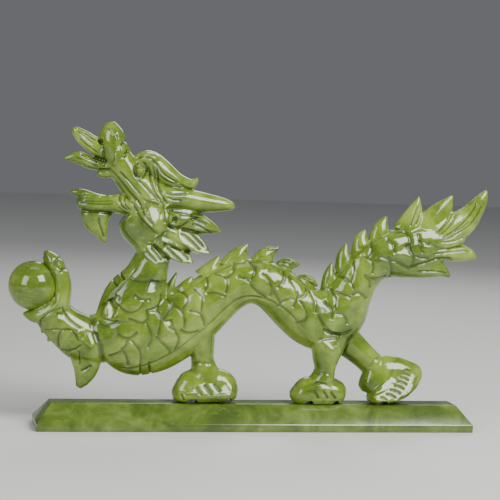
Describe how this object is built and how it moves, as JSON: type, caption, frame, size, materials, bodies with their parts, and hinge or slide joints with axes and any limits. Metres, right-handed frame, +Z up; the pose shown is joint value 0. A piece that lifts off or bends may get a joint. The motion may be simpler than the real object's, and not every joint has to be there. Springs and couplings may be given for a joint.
{
  "type": "jade figurine",
  "caption": "Carved green jade dragon striding on a bevelled jade plinth, raising a pearl in its foreclaw.",
  "frame": {"origin": "middle of the plinth's underside", "axes": "+Z up, +X along the plinth from the dragon's pearl to its tail, -Y towards the side that is looked at"},
  "size_m": [0.3278, 0.038, 0.2046],
  "materials": {
    "plinth_jade": "polished green serpentine jade, sawn and bevelled",
    "dragon_jade": "polished green serpentine jade, carved",
    "pearl_jade": "polished green serpentine jade, turned ball",
    "dowel_steel": "plain steel rod"
  },
  "bodies": {
    "root": {"plinth": "plinth_jade", "dragon_carving": "dragon_jade", "pearl": "pearl_jade", "dowel_fore": "dowel_steel", "dowel_hind_near": "dowel_steel", "dowel_hind_far": "dowel_steel"}
  },
  "joints": []
}
